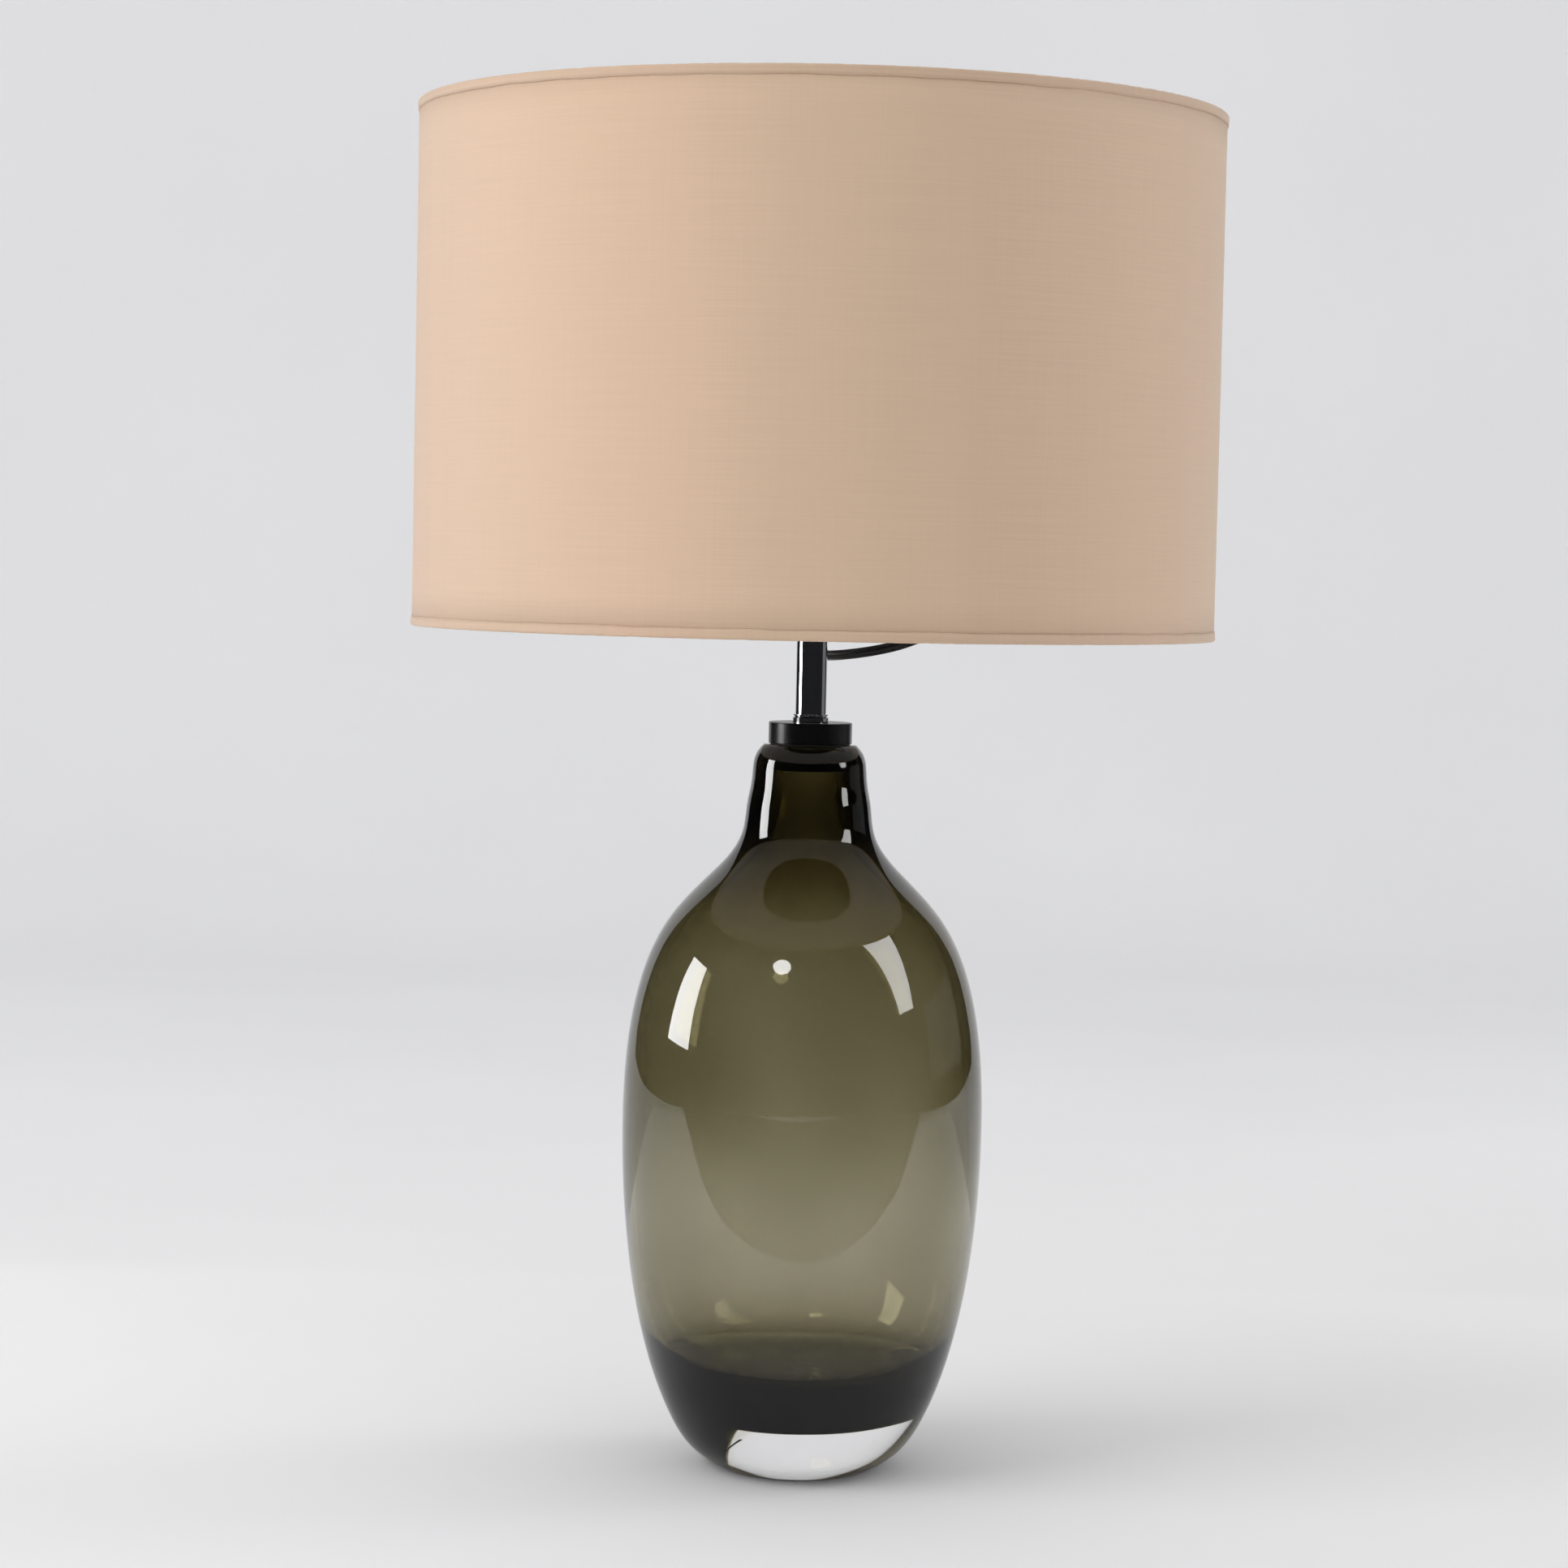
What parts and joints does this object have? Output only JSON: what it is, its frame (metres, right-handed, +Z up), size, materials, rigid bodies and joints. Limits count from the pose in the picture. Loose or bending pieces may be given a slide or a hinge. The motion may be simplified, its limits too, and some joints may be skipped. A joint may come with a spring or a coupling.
{
  "type": "table lamp",
  "caption": "Table lamp with a cased glass bottle base, chromed stem, harp-hung drum shade, turn-knob socket and coiled supply cord.",
  "frame": {"origin": "centre of the vessel's flat base, on the surface the lamp stands on", "axes": "+Z up along the lamp's axis; -Y is the front, +X to the right, the side the cord leaves towards"},
  "size_m": [0.4063, 0.4064, 0.6972],
  "materials": {
    "vessel_glass": "clear casing over smoke-olive tint, polished",
    "black_rubber": "matt",
    "black_gloss": "polished black",
    "zinc_steel": "zinc plated",
    "chrome": "polished",
    "black_plastic": "matt",
    "nickel_wire": "nickel plated",
    "socket_nickel": "nickel plated",
    "fibre_sleeve": "vulcanised fibre",
    "black_moulding": "moulded",
    "aluminium_shell": "drawn",
    "contact_brass": "satin",
    "cord_black": "flexible, semi-gloss",
    "tie_strap": "woven hook and loop",
    "bulb_opal": "opal",
    "white_wire": "white enamel",
    "liner_white": "white styrene, matt",
    "shade_cloth": "fine plain-woven cloth with a silky face",
    "hem_cloth": "the same cloth, turned over and glued"
  },
  "bodies": {
    "root": {"glass_vessel": "vessel_glass", "neck_gasket": "black_rubber", "neck_cap": "black_gloss", "neck_plug": "black_rubber", "clamp_washer": "zinc_steel", "clamp_nut": "zinc_steel", "lower_nipple": "zinc_steel", "stem_ferrule": "chrome", "stem_tube": "chrome", "outlet_grommet": "black_plastic", "upper_nipple": "zinc_steel", "harp_saddle": "nickel_wire", "harp_frame": "nickel_wire", "harp_stud": "nickel_wire", "socket_cap": "socket_nickel", "socket_shell": "socket_nickel", "socket_insulator": "fibre_sleeve", "socket_core": "black_moulding", "socket_screw_shell": "aluminium_shell", "socket_centre_contact": "contact_brass", "terminal_screws": "contact_brass", "inner_leads": "cord_black", "power_cord": "cord_black", "cord_coil": "cord_black", "cord_tail": "cord_black", "cord_tie": "tie_strap", "plug_moulding": "cord_black", "plug_blades": "contact_brass"},
    "harp_sleeve_left": {"harp_sleeve_left": "nickel_wire"},
    "harp_sleeve_right": {"harp_sleeve_right": "nickel_wire"},
    "switch": {"switch_shaft": "contact_brass", "switch_knob": "black_moulding"},
    "bulb": {"bulb_base": "aluminium_shell", "bulb_contact": "contact_brass", "bulb_globe": "bulb_opal"},
    "shade": {"shade_top_ring": "white_wire", "shade_bottom_ring": "white_wire", "shade_liner": "liner_white", "shade_fabric": "shade_cloth", "shade_top_hem": "hem_cloth", "shade_bottom_hem": "hem_cloth", "spider_hub": "white_wire", "spider_arm_rear": "white_wire", "spider_arm_left": "white_wire", "spider_arm_right": "white_wire"},
    "finial": {"finial": "nickel_wire"}
  },
  "joints": [
    {"name": "shade_turn", "type": "hinge", "parent": "root", "child": "shade", "pos_m": [0, 0, 0.6736], "axis": [0, 0, 1], "continuous": true},
    {"name": "finial_turn", "type": "hinge", "parent": "root", "child": "finial", "pos_m": [0, 0, 0.68], "axis": [0, 0, 1], "continuous": true},
    {"name": "bulb_turn", "type": "hinge", "parent": "root", "child": "bulb", "pos_m": [0, 0, 0.5], "axis": [0, 0, 1], "continuous": true},
    {"name": "switch_turn", "type": "hinge", "parent": "root", "child": "switch", "pos_m": [0, -0.02, 0.4735], "axis": [0, -1, 0], "continuous": true},
    {"name": "sleeve_left_lift", "type": "slide", "parent": "root", "child": "harp_sleeve_left", "axis": [0, 0, 1], "range_m": [0, 0.012]},
    {"name": "sleeve_right_lift", "type": "slide", "parent": "root", "child": "harp_sleeve_right", "axis": [0, 0, 1], "range_m": [0, 0.012]}
  ]
}
